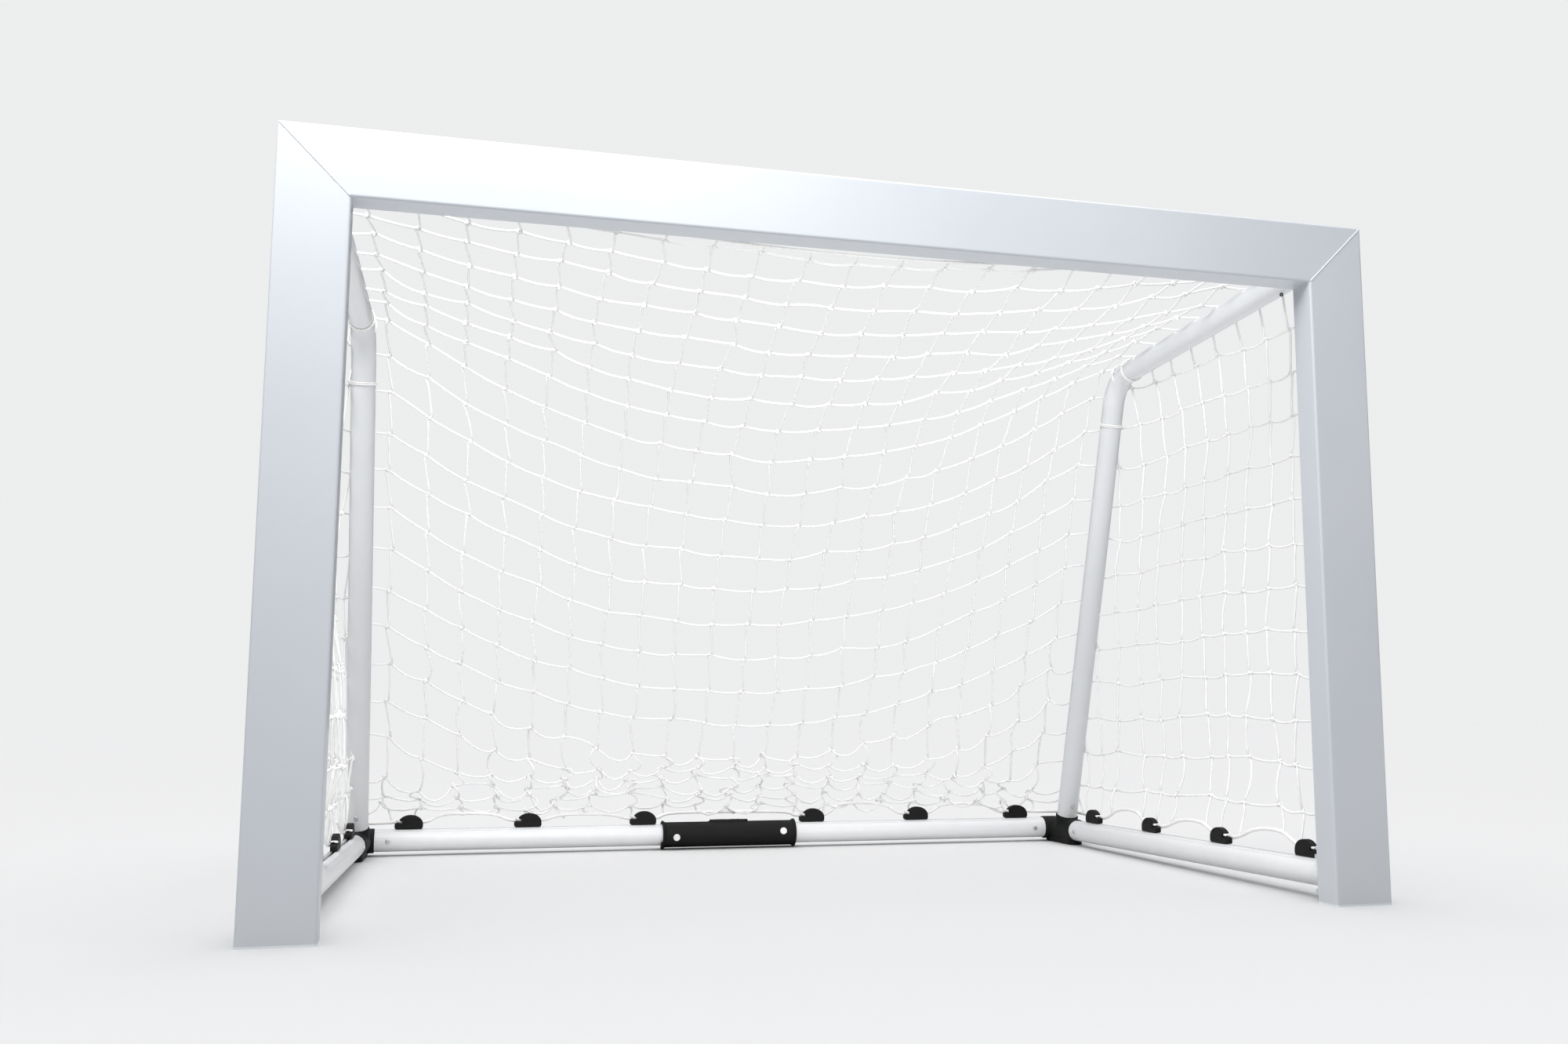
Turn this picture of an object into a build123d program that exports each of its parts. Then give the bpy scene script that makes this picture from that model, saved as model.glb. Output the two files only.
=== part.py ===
"""A small football goal: a mitred rectangular front frame, round ground tubes, bent rear
stanchions, plastic corners and sliding net hooks, with its net as plain closed sheets.

Frame: +X to the right as seen from the field, +Y from the goal mouth to the rear, +Z up.
The origin is on the ground, at the centre of the goal's footprint. Millimetres.
"""

import math
import os

from build123d import *

# Overall size
width = 1700.0
height = 1100.0
depth = 1090.0

# Front frame: rectangular profile, wide side to the field
face_width = 100.0
profile_depth = 50.0
profile_wall = 3.0
profile_edge = 4.0
plug_plate = 3.0
plug_length = 25.0
plug_play = 0.2
plug_edge = 5.0

# Round tube, with the net groove along the top of the ground tubes
tube_radius = 22.0
tube_wall = 2.0
groove_slot = 6.0
groove_lip = 3.0
chamber_width = 11.0
chamber_height = 5.0
channel_wall = 2.0
seam_width = 1.6
seam_depth = 0.7
seam_angle = 35.0

# Side frames: the rails toe in towards the rear and fall a little
rail_inset = 3.0
rail_toe_in = 39.0
stanchion_top_drop = 48.0
bend_before_rear = 364.0
bend_drop = 52.0
bend_radius = 80.0
foot_before_corner = 58.0
ground_play = 0.25

# Rear corner elbows
elbow_wall = 2.5
elbow_rail_arm = 115.0
elbow_bar_arm = 29.0
elbow_rise_gap = 0.93
elbow_pad_width = 34.0
elbow_pad_height = 14.0
spigot_length = 46.0
spigot_play = 0.25

# Centre sleeve on the rear bar
sleeve_length = 290.0
sleeve_wall = 4.0
sleeve_play = 0.25
lip_length = 7.0
lip_flat = 2.8
lip_rise = 3.5
nub_length = 84.0
nub_width = 16.0
nub_rise = 4.0
bar_gap = 4.0
sleeve_screw_inset = 29.0
sleeve_screw_angles = (-8.0, 12.0)

# Fork brackets on the post feet, and the top brackets
plate_thickness = 4.0
fork_width = 58.0
fork_below_leaf = 7.0
fork_above_leaf = 17.0
leaf_thickness = 5.0
leaf_gap = 3.0
leaf_reach = 46.0
bolt_radius = 4.0
bolt_play = 0.75
bolt_from_plate = 26.0
bolt_head_radius = 7.0
bolt_head_height = 5.5
nut_height = 6.5
nut_from_ground = 3.5
rail_end_gap = 3.0
bracket_width = 56.0
bracket_height = 76.0
bracket_stub = 42.0

# Screws through the tube walls
screw_radius = 2.4
screw_play = 0.1
screw_length = 14.0
screw_head_radius = 4.6
screw_head_height = 2.4
screw_socket_radius = 1.5
screw_from_end = 27.0
ring_head_radius = 7.2
ring_head_height = 2.6
ring_socket_radius = 2.4

# Net hooks
hook_length = 56.0
hook_height = 28.0
hook_thickness = 12.0
hook_lift = 0.3
hook_mouth = 5.0
hook_foot_length = 18.0
hook_foot_play = 0.3
hook_dome_share = 0.9
hook_dome_shift = 0.05
hook_dome_drop = 0.3
hook_base_share = 0.44
hook_base_edge = 0.16
hook_mouth_length = 0.3
hook_mouth_reach = 0.4
hook_mouth_level = 0.58
hook_mouth_tilt = 22.0
rear_hook_from_sleeve = 40.0
rear_hook_from_elbow = 66.0
rear_hook_shares = (0.0, 0.5021, 1.0)
rail_hook_from_fork = 36.0
rail_hook_from_elbow = 77.25
rail_hook_shares = (0.0, 0.3443, 0.6776, 1.0)

# Net and its rope and clips; the sag is in shares of the net's reach and of its height
net_thickness = 3.0
net_gap = 4.0
net_flat_stations = 5
net_bend_stations = 7
net_panel_shares = (0.4, 0.75)
side_net_step = 1.0
net_from_frame = 16.0
net_bottom_lift = 20.0
net_behind_bar = 18.0
sag_reach_top = 0.738
sag_drop_top = 0.1293
sag_reach_low = 0.2934
sag_rise_low = 0.5905
rope_radius = 3.0
rope_offset = 10.5
rope_lift = 12.0
rope_bend = 40.0
clip_count = 11
clip_size = 12.0
clip_reach = 14.0
clip_wall = 3.0
post_clip_count = 6

# Allowance past a face for the tools that trim and cut it
trim_margin = 5.0

front_y = -depth / 2
frame_rear_y = front_y + profile_depth
inner_radius = tube_radius - tube_wall
sleeve_radius = tube_radius + sleeve_play + sleeve_wall
elbow_radius = tube_radius + elbow_wall
bar_y = depth / 2 - sleeve_radius - lip_rise
corner_z = sleeve_radius + lip_rise + ground_play
post_x = width / 2 - face_width / 2
rail_front_x = post_x - rail_inset
rail_rear_x = rail_front_x - rail_toe_in
rail_start_y = frame_rear_y + plate_thickness + rail_end_gap
lower_leaf_z = nut_from_ground + nut_height
rail_front_z = lower_leaf_z + leaf_thickness + leaf_gap + tube_radius
upper_leaf_z = rail_front_z + tube_radius + leaf_gap
fork_bottom = lower_leaf_z - fork_below_leaf
fork_top = upper_leaf_z + leaf_thickness + fork_above_leaf
stanchion_top_z = height - stanchion_top_drop
bend_y = depth / 2 - bend_before_rear
bend_z = stanchion_top_z - bend_drop
net_top_z = height - face_width
net_bend_station = net_flat_stations + net_bend_stations // 2 + 1
lip_radius = tube_radius - groove_lip
chamber_floor = lip_radius - chamber_height
channel_floor = chamber_floor - channel_wall
channel_width = chamber_width + 2 * channel_wall
side_net_offset = tube_radius + net_gap
net_slack_share = (rail_rear_x - side_net_offset) / (rail_rear_x + side_net_offset)

parts = {}


def side_x(y):
    """Half distance between the side frames' planes at depth y."""
    share = (y - rail_start_y) / (bar_y - rail_start_y)
    return rail_front_x + (rail_rear_x - rail_front_x) * share


def side_point(side, y, z):
    return Vector(side * side_x(y), y, z)


def along(start, end, up=Vector(0, 0, 1)):
    """A plane at start whose normal runs to end and whose Y axis leans up."""
    axis = (end - start).normalized()
    return Plane(origin=start, x_dir=up.cross(axis).normalized(), z_dir=axis)


def rod(start, end, radius):
    length = (end - start).length
    return along(start, end) * Cylinder(radius, length, align=(Align.CENTER, Align.CENTER, Align.MIN))


def spread(first, last, shares):
    """Places at the given shares of the way from first to last."""
    return [first + (last - first) * share for share in shares]


# ---- front frame ---------------------------------------------------------------------------

def profile(length):
    """The hollow rectangular profile, standing along Z from the origin."""
    outer = RectangleRounded(face_width, profile_depth, profile_edge)
    inner = Rectangle(face_width - 2 * profile_wall, profile_depth - 2 * profile_wall)
    return extrude(outer - inner, amount=length)


def mitred_outline(points):
    """A prism in the frame's own plane, as deep as the profile, that trims a member."""
    outline = make_face(Polyline(*[(x, z) for x, z in points], close=True))
    start = frame_rear_y + trim_margin
    sheet = Plane(origin=(0, start, 0), x_dir=(1, 0, 0), z_dir=(0, -1, 0)) * outline
    return extrude(sheet, amount=profile_depth + 2 * trim_margin)


def make_post(side):
    post = Pos(side * post_x, front_y + profile_depth / 2, plug_plate) * profile(height - plug_plate)
    outer = side * width / 2
    inner = outer - side * face_width
    reach = side * trim_margin
    trim = mitred_outline([
        (inner - reach, 0),
        (outer + reach, 0),
        (outer + reach, height + trim_margin),
        (inner - reach, height - face_width - trim_margin),
    ])
    return post & trim


def make_crossbar():
    inner = face_width + trim_margin
    lying = Plane(
        origin=(-width / 2, front_y + profile_depth / 2, height - face_width / 2),
        x_dir=(0, 0, 1),
        z_dir=(1, 0, 0),
    )
    trim = mitred_outline([
        (-width / 2 - trim_margin, height + trim_margin),
        (width / 2 + trim_margin, height + trim_margin),
        (width / 2 - inner, height - inner),
        (inner - width / 2, height - inner),
    ])
    return (lying * profile(width)) & trim


def make_foot_plug(side):
    """The moulded plug in the open foot of a post, with its plate on the ground."""
    plate = extrude(RectangleRounded(face_width, profile_depth, profile_edge), amount=plug_plate)
    body_width = face_width - 2 * profile_wall - 2 * plug_play
    body_depth = profile_depth - 2 * profile_wall - 2 * plug_play
    body = extrude(Pos(0, 0, plug_plate) * Rectangle(body_width, body_depth), amount=plug_length)
    hollow = extrude(
        Pos(0, 0, plug_plate) * Rectangle(body_width - 2 * plug_edge, body_depth - 2 * plug_edge),
        amount=plug_length,
    )
    return Pos(side * post_x, front_y + profile_depth / 2, 0) * (plate + body - hollow)


# ---- ground tubes --------------------------------------------------------------------------

def grooved_section(seam_side):
    """Tube section with the net groove at the top and a fine seam line on one side."""
    channel_top = inner_radius + tube_wall / 4
    ring = Circle(tube_radius) - Circle(inner_radius)
    block = Rectangle(channel_width, channel_top - channel_floor)
    section = ring + Pos(0, (channel_top + channel_floor) / 2) * block
    section -= Pos(0, (chamber_floor + lip_radius) / 2) * Rectangle(chamber_width, chamber_height)
    section -= Pos(0, tube_radius) * Rectangle(groove_slot, 2 * groove_lip)
    seam = Pos(0, tube_radius) * Rectangle(seam_width, 2 * seam_depth)
    return section - Rot(0, 0, seam_side * seam_angle) * seam


def grooved_tube(start, end, seam_side):
    place = along(start, end)
    return extrude(place * grooved_section(seam_side), amount=(end - start).length)


def rail_ends(side):
    """Front end of the rail, its rear end at the elbow, and the corner of the axes."""
    front = side_point(side, rail_start_y, rail_front_z)
    corner = side_point(side, bar_y, corner_z)
    back = (front - corner).normalized()
    return front, corner + back * elbow_rail_arm, corner


def bar_ends(side):
    outer = side_point(side, bar_y, corner_z) - Vector(side * elbow_bar_arm, 0, 0)
    return Vector(side * bar_gap / 2, bar_y, corner_z), outer


def fork_bolt_y():
    return frame_rear_y + plate_thickness + bolt_from_plate


def rail_z(y):
    share = (y - rail_start_y) / (bar_y - rail_start_y)
    return rail_front_z + (corner_z - rail_front_z) * share


def make_rail(side):
    front, rear, corner = rail_ends(side)
    rail = grooved_tube(front, rear, -side)
    bolt_y = fork_bolt_y()
    hole = Cylinder(bolt_radius + bolt_play, 3 * tube_radius)
    rail -= Pos(side_point(side, bolt_y, rail_z(bolt_y))) * hole
    return drill(rail, rail_screw(side))


def make_bar(side):
    inner, outer = bar_ends(side)
    bar = grooved_tube(inner, outer, side)
    bar = drill(bar, bar_screw(side))
    return drill(bar, sleeve_screw(side))


# ---- stanchions ----------------------------------------------------------------------------

def foot_direction(side):
    bend = side_point(side, bend_y, bend_z)
    foot = stanchion_foot(side)
    return (bend - foot).normalized()


def stanchion_foot(side):
    """Where the stanchion's axis meets the rail's axis, inside the elbow."""
    front, rear, corner = rail_ends(side)
    return corner + (front - corner).normalized() * foot_before_corner


def stanchion_end(side):
    """Centre of the stanchion's lower end, which just clears the elbow's run along the rail."""
    front, rear, corner = rail_ends(side)
    rise = foot_direction(side)
    lean = rise.dot((front - corner).normalized())
    reach = (elbow_radius + tube_radius * lean) / math.sqrt(1 - lean ** 2) + elbow_rise_gap
    return stanchion_foot(side) + rise * reach


def stanchion_path(side):
    top = side_point(side, rail_start_y, stanchion_top_z)
    bend = side_point(side, bend_y, bend_z)
    return FilletPolyline(top, bend, stanchion_end(side), radius=bend_radius)


def make_stanchion(side):
    path = stanchion_path(side)
    ring = Circle(tube_radius) - Circle(inner_radius)
    tube = sweep(Plane(origin=path @ 0, z_dir=path % 0) * ring, path=path)
    tube = drill(tube, foot_screw(side))
    return drill(tube, top_screw(side))


# ---- screws --------------------------------------------------------------------------------

def screw_place(centre, outward, surface=tube_radius):
    """A plane on the tube's surface with its normal pointing out along the screw."""
    return Plane(origin=centre + outward.normalized() * surface, z_dir=outward.normalized())


def bar_screw(side):
    inner, outer = bar_ends(side)
    return screw_place(outer - Vector(side * screw_from_end, 0, 0), Vector(0, -1, 0))


def rail_screw(side):
    front, rear, corner = rail_ends(side)
    axis = (front - rear).normalized()
    inward = axis.cross(Vector(0, 0, 1)).normalized() * side
    return screw_place(rear + axis * screw_from_end, inward)


def foot_screw(side):
    axis = foot_direction(side)
    across = axis.cross(Vector(-side, 0, 0)).normalized() * side
    outward = across if across.Y < 0 else across * -1
    return screw_place(stanchion_end(side) + axis * screw_from_end, outward)


def top_screw(side):
    path = stanchion_path(side)
    axis = path % 0
    under = axis.cross(Vector(1, 0, 0)).normalized()
    downward = under if under.Z < 0 else under * -1
    return screw_place(path @ 0 + axis * screw_from_end, downward)


def sleeve_screw(side):
    """A sleeve screw on the front face, the left one a little low and the right one high."""
    centre = Vector(side * (sleeve_length / 2 - sleeve_screw_inset), bar_y, corner_z)
    angle = math.radians(sleeve_screw_angles[0 if side < 0 else 1])
    return screw_place(centre, Vector(0, -math.cos(angle), math.sin(angle)), sleeve_radius)


def drill(solid, place):
    hole = Cylinder(screw_radius + screw_play, 2 * screw_length)
    return solid - place * hole


def make_screw(place, head_radius, head_height, socket_radius, shank):
    """A round-headed screw: its head on the surface, its shank inwards."""
    head = Cylinder(head_radius, head_height, align=(Align.CENTER, Align.CENTER, Align.MIN))
    head = fillet(head.edges().group_by(Axis.Z)[-1], head_height * 0.6)
    body = Pos(0, 0, -shank / 2) * Cylinder(screw_radius, shank)
    socket = Pos(0, 0, head_height) * Cylinder(socket_radius, head_height)
    return place * (head + body - socket)


# ---- corner elbow and sleeve ---------------------------------------------------------------

def spigot(start, direction, notched):
    """The plug that the elbow pushes into a tube, notched where the groove's channel runs."""
    place = along(start, start + direction)
    plug = extrude(place * Circle(inner_radius - spigot_play), amount=spigot_length)
    if notched:
        notch = Rectangle(channel_width + 4 * spigot_play, tube_radius)
        low = channel_floor - 2 * spigot_play
        plug -= extrude(place * Pos(0, low + tube_radius / 2) * notch, amount=spigot_length)
    return plug


def make_elbow(side):
    front, rear, corner = rail_ends(side)
    inner, outer = bar_ends(side)
    foot = stanchion_foot(side)
    rise = foot_direction(side)
    body = rod(corner, rear, elbow_radius) + rod(corner, outer, elbow_radius)
    body += Pos(corner) * Sphere(elbow_radius)
    body += rod(foot, stanchion_end(side), elbow_radius)
    toe = rear + (corner - rear).normalized() * (elbow_pad_width / 2)
    pad_path = Line((toe.X, toe.Y), (corner.X, corner.Y))
    pad = extrude(SlotCenterToCenter((toe - corner).length, elbow_pad_width), amount=elbow_pad_height)
    middle = pad_path @ 0.5
    turn = math.degrees(math.atan2(toe.Y - corner.Y, toe.X - corner.X))
    body += Pos(middle.X, middle.Y, 0) * Rot(0, 0, turn) * pad
    body += spigot(rear, (rear - corner).normalized(), True)
    body += spigot(outer, (outer - corner).normalized(), True)
    body += spigot(stanchion_end(side), rise, False)
    for place in (rail_screw(side), bar_screw(side), foot_screw(side)):
        body = drill(body, place)
    return body


def make_sleeve():
    """Moulded sleeve over the two bar halves, flared at its ends, with a nub on top."""
    bore = tube_radius + sleeve_play
    outer = sleeve_radius
    half = sleeve_length / 2
    outline = Polyline(
        (bore, -half),
        (outer + lip_rise, -half),
        (outer + lip_rise, lip_flat - half),
        (outer, lip_length - half),
        (outer, half - lip_length),
        (outer + lip_rise, half - lip_flat),
        (outer + lip_rise, half),
        (bore, half),
        close=True,
    )
    shell = revolve(Plane.XZ * make_face(outline), Axis.Z)
    sleeve = along(Vector(0, bar_y, corner_z), Vector(1, bar_y, corner_z)) * shell
    nub_base = corner_z + sleeve_radius - sleeve_wall / 2
    nub = extrude(
        Pos(0, bar_y, nub_base) * SlotOverall(nub_length, nub_width),
        amount=sleeve_wall / 2 + nub_rise,
    )
    sleeve += nub
    for side in (-1, 1):
        sleeve = drill(sleeve, sleeve_screw(side))
    return sleeve


# ---- brackets on the front frame -----------------------------------------------------------

def make_fork(side):
    """Welded plate with two leaves that take the rail's end between them."""
    x = side * side_x(frame_rear_y)
    plate = Pos(x, frame_rear_y + plate_thickness / 2, (fork_bottom + fork_top) / 2) * Box(
        fork_width, plate_thickness, fork_top - fork_bottom
    )
    bolt_y = fork_bolt_y()
    bolt = side_point(side, bolt_y, 0)
    root = frame_rear_y + plate_thickness
    tip = leaf_reach - fork_width / 2
    leaf_shape = Pos(x, root + tip / 2) * Rectangle(fork_width, tip)
    leaf_shape += Pos(x, root + tip) * Circle(fork_width / 2)
    leaf_shape -= Pos(x, root - fork_width / 2) * Rectangle(2 * fork_width, fork_width)
    leaf_shape -= Pos(bolt.X, bolt.Y) * Circle(bolt_radius + bolt_play / 3)
    for level in (lower_leaf_z, upper_leaf_z):
        plate += extrude(Pos(0, 0, level) * leaf_shape, amount=leaf_thickness)
    return plate


def make_bolt(side):
    top = upper_leaf_z + leaf_thickness
    length = top - lower_leaf_z + nut_height
    shank = Pos(0, 0, top - length / 2) * Cylinder(bolt_radius, length)
    head = extrude(Pos(0, 0, top) * RegularPolygon(bolt_head_radius, 6), amount=bolt_head_height)
    centre = side_point(side, fork_bolt_y(), 0)
    return Pos(centre.X, centre.Y, 0) * (shank + head)


def make_nut(side):
    shape = RegularPolygon(bolt_head_radius, 6) - Circle(bolt_radius)
    centre = side_point(side, fork_bolt_y(), nut_from_ground)
    return extrude(Pos(centre) * shape, amount=nut_height)


def make_top_bracket(side):
    """Welded plate with a stub that plugs into the stanchion's top end."""
    path = stanchion_path(side)
    start = path @ 0
    axis = path % 0
    plate_z = min(stanchion_top_z, height - bracket_height / 2)
    plate = Pos(side * side_x(frame_rear_y), frame_rear_y + plate_thickness / 2, plate_z) * Box(
        bracket_width, plate_thickness, bracket_height
    )
    root = start - axis * (rail_end_gap + 2 * plate_thickness)
    stub = rod(root, start + axis * bracket_stub, inner_radius - spigot_play)
    ahead = Pos(root.X, frame_rear_y - bracket_stub / 2, plate_z) * Box(
        2 * bracket_width, bracket_stub, 2 * bracket_height
    )
    return drill(plate + (stub - ahead), top_screw(side))


# ---- net hooks -----------------------------------------------------------------------------

def hook_solid():
    """A hook on its T-foot: X along the tube with the mouth at +X, Z up from the tube's top."""
    centre = (-hook_length * hook_dome_shift, hook_height * hook_dome_drop)
    dome = Pos(*centre) * Ellipse(hook_length * hook_dome_share / 2, hook_height * (1 - hook_dome_drop))
    dome &= Pos(0, hook_height / 2) * Rectangle(hook_length, hook_height)
    base_height = hook_height * hook_base_share
    base = Pos(0, base_height / 2) * RectangleRounded(hook_length, base_height, hook_height * hook_base_edge)
    mouth = SlotCenterToCenter(hook_length * hook_mouth_length, hook_mouth)
    mouth_centre = Pos(hook_length * hook_mouth_reach, hook_height * hook_mouth_level)
    outline = dome + base - mouth_centre * Rot(0, 0, hook_mouth_tilt) * mouth
    body = extrude(Plane.XZ * outline, amount=hook_thickness / 2, both=True)
    body = Pos(0, 0, hook_lift) * body
    neck_bottom = hook_foot_play - chamber_height - groove_lip
    neck_width = groove_slot - 2 * hook_foot_play
    foot_height = chamber_height - 2 * hook_foot_play
    foot_width = chamber_width - 2 * hook_foot_play
    neck = Box(
        hook_foot_length, neck_width, hook_lift + tube_wall - neck_bottom,
        align=(Align.CENTER, Align.CENTER, Align.MIN),
    )
    foot = Box(
        hook_foot_length, foot_width, foot_height,
        align=(Align.CENTER, Align.CENTER, Align.MIN),
    )
    return body + Pos(0, 0, neck_bottom) * neck + Pos(0, 0, neck_bottom) * foot


def rear_hook_xs():
    """Places of the rear hooks on both halves of the bar, from left to right."""
    first = sleeve_length / 2 + rear_hook_from_sleeve
    last = rail_rear_x - elbow_bar_arm - rear_hook_from_elbow
    half = spread(first, last, rear_hook_shares)
    return sorted([-x for x in half] + half)


def rail_hook_ys():
    """Places of the hooks on a rail, from its front end to the elbow."""
    first = frame_rear_y + plate_thickness + leaf_reach + rail_hook_from_fork
    last = bar_y - elbow_rail_arm - rail_hook_from_elbow
    return spread(first, last, rail_hook_shares)


def rear_hook(x):
    """A hook on the rear bar, its mouth towards -X."""
    return Plane(origin=(x, bar_y, corner_z + tube_radius), x_dir=(-1, 0, 0), z_dir=(0, 0, 1)) * hook_solid()


def rail_hook(side, y):
    """A hook on a side rail, square to the rail, its mouth towards the goal mouth."""
    front, rear, corner = rail_ends(side)
    axis = (front - corner).normalized()
    centre = side_point(side, y, rail_z(y))
    up = axis.cross(Vector(0, 0, 1).cross(axis)).normalized()
    return Plane(origin=centre + up * tube_radius, x_dir=axis, z_dir=up) * hook_solid()


# ---- net -----------------------------------------------------------------------------------

def side_profile():
    """The net's line over the stanchion, in a side frame's plane: (y, z) as an XY wire."""
    clear = tube_radius + net_gap
    start = (frame_rear_y + net_from_frame, stanchion_top_z + clear)
    slope = -bend_drop / (bend_y - frame_rear_y)
    corner_y = bend_y + clear
    corner = (corner_y, stanchion_top_z + clear + slope * (corner_y - start[0]))
    return FilletPolyline(start, corner, net_foot(), radius=bend_radius + clear)


def net_foot():
    return bar_y + net_behind_bar, corner_z + tube_radius + net_bottom_lift


def middle_profile():
    """The slack line down the middle of the net, as a curve with four control points."""
    start = (frame_rear_y + net_from_frame, net_top_z)
    end = net_foot()
    reach = end[0] - start[0]
    fall = start[1] - end[1]
    return Bezier(
        start,
        (start[0] + reach * sag_reach_top, start[1] - fall * sag_drop_top),
        (end[0] - reach * sag_reach_low, end[1] + fall * sag_rise_low),
        end,
    )


def net_stations():
    """Places along the net's line from 0 to 1, close together round the bend."""
    pieces = side_profile().edges()
    total = sum(piece.length for piece in pieces)
    places = [0.0]
    done = 0.0
    for piece in pieces:
        steps = net_bend_stations if piece.geom_type == GeomType.CIRCLE else net_flat_stations
        places += [(done + piece.length * (i + 1) / steps) / total for i in range(steps)]
        done += piece.length
    return places


def net_section(share, stations):
    """A closed ribbon in the upright plane at this share of the half width."""
    side_line = side_profile()
    middle_line = middle_profile()
    sag = max(0.0, 1 - (share / net_slack_share) ** 2)
    inner = []
    for t in stations:
        held = side_line.position_at(t)
        slack = middle_line.position_at(t)
        inner.append(held + (slack - held) * sag)
    step = net_thickness / math.sqrt(2)
    outer = [point + Vector(step, step) for point in inner]
    loop = []
    for point in inner + outer[::-1]:
        x = share * (side_x(point.X) + side_net_offset)
        loop.append(Vector(x, point.X, point.Y))
    return Wire.make_polygon(loop, close=True)


def net_panel(stations):
    """The sheet between the first and last of its stations, over the whole width."""
    half = [net_slack_share * share for share in net_panel_shares] + [net_slack_share, 1]
    shares = [-share for share in half[::-1]] + [0] + half
    return Solid.make_loft([net_section(share, stations) for share in shares], ruled=True)


def make_roof_net():
    return net_panel(net_stations()[:net_bend_station + 1])


def make_back_net():
    return net_panel(net_stations()[net_bend_station:])


def make_side_net(side):
    """A flat sheet just outside the side frame, under the back net's edge."""
    line = side_profile()
    outline = []
    for t in net_stations():
        point = line.position_at(t)
        outline.append((point.X, point.Y - side_net_step))
    outline[-1] = (outline[-1][0], outline[-1][1] + side_net_step)
    outline.append((outline[0][0], rail_front_z + tube_radius + net_bottom_lift))
    loop = [Vector(side * (side_x(y) + side_net_offset), y, z) for y, z in outline]
    sheet = Face(Wire.make_polygon(loop, close=True))
    outward = Vector(side, 0, 0)
    return extrude(sheet, amount=net_thickness, dir=outward)


def make_rope():
    """The net's border rope: beside the hooks, outside the stanchions and behind the rear bar."""
    lift = tube_radius + rope_lift
    outside = elbow_radius + 2 * rope_radius
    run_end = rail_hook_ys()[-1] + hook_length
    places = (
        (rail_start_y + fork_width, rope_offset),
        (run_end, rope_offset),
        (bar_y - foot_before_corner - rope_bend, outside),
        (bar_y + rope_offset, outside),
    )
    halves = {}
    for side in (-1, 1):
        halves[side] = [Vector(side * (side_x(y) + w), y, rail_z(y) + lift) for y, w in places]
    path = FilletPolyline(*(halves[-1] + halves[1][::-1]), radius=rope_bend)
    return sweep(Plane(origin=path @ 0, z_dir=path % 0) * Circle(rope_radius), path=path)


def net_clip():
    """A small open hook: a foot on the frame at Y = 0 and an arm that turns up."""
    outline = Polyline(
        (0, clip_size / 2),
        (0, -clip_size / 2),
        (clip_reach, -clip_size / 2),
        (clip_reach, clip_size / 4),
        (clip_reach - clip_wall, clip_size / 4),
        (clip_reach - clip_wall, clip_wall - clip_size / 2),
        (clip_wall, clip_wall - clip_size / 2),
        (clip_wall, clip_size / 2),
        close=True,
    )
    return extrude(Plane.YZ * make_face(outline), amount=clip_size / 4, both=True)


def make_crossbar_clips():
    reach = width / 2 - face_width - clip_size
    z = height - face_width + clip_size
    xs = [reach * (2 * i / (clip_count - 1) - 1) for i in range(clip_count)]
    return [Pos(x, frame_rear_y, z) * net_clip() for x in xs]


def make_post_clips():
    """Clips up the outer part of each post's rear face, beside the net's front edge."""
    clips = []
    low = fork_top + clip_size
    high = stanchion_top_z - bracket_height
    for side in (-1, 1):
        for i in range(post_clip_count):
            z = low + (high - low) * i / (post_clip_count - 1)
            clips.append(Pos(side * post_x, frame_rear_y, z) * net_clip())
    return clips


# ---- assembly ------------------------------------------------------------------------------

sides = (("left", -1), ("right", 1))
for name, side in sides:
    parts[f"{name}_post"] = [make_post(side)]
    parts[f"{name}_foot_plug"] = [make_foot_plug(side)]
    parts[f"{name}_foot_fork"] = [make_fork(side)]
    parts[f"{name}_top_bracket"] = [make_top_bracket(side)]
    parts[f"{name}_side_rail"] = [make_rail(side)]
    parts[f"{name}_rear_bar"] = [make_bar(side)]
    parts[f"{name}_corner_elbow"] = [make_elbow(side)]
    parts[f"{name}_stanchion"] = [make_stanchion(side)]
    parts[f"{name}_side_net"] = [make_side_net(side)]
    for i, y in enumerate(rail_hook_ys()):
        parts[f"{name}_rail_hook_{i + 1}"] = [rail_hook(side, y)]

parts["crossbar"] = [make_crossbar()]
parts["centre_sleeve"] = [make_sleeve()]
parts["roof_net"] = [make_roof_net()]
parts["back_net"] = [make_back_net()]
parts["border_rope"] = [make_rope()]
parts["crossbar_net_clips"] = make_crossbar_clips()
parts["post_net_clips"] = make_post_clips()
parts["fork_bolts"] = [make_bolt(side) for name, side in sides]
parts["fork_nuts"] = [make_nut(side) for name, side in sides]

tube_screw_places = [
    make_place(side)
    for make_place in (bar_screw, rail_screw, foot_screw, top_screw)
    for name, side in sides
]
parts["tube_screws"] = [
    make_screw(place, screw_head_radius, screw_head_height, screw_socket_radius, screw_length)
    for place in tube_screw_places
]
parts["sleeve_screws"] = [
    make_screw(sleeve_screw(side), ring_head_radius, ring_head_height, ring_socket_radius, screw_length)
    for name, side in sides
]

for i, x in enumerate(rear_hook_xs()):
    parts[f"rear_hook_{i + 1}"] = [rear_hook(x)]

os.makedirs("parts", exist_ok=True)
for name, solids in parts.items():
    flat = [solid for piece in solids for solid in piece.solids()]
    shape = flat[0] if len(flat) == 1 else Compound(children=flat)
    shape.label = name
    export_step(shape, f"parts/{name}.step")
print(len(parts), "nodes")
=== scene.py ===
import math

import bpy
import numpy as np
from mathutils import Matrix, Vector, noise


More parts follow.
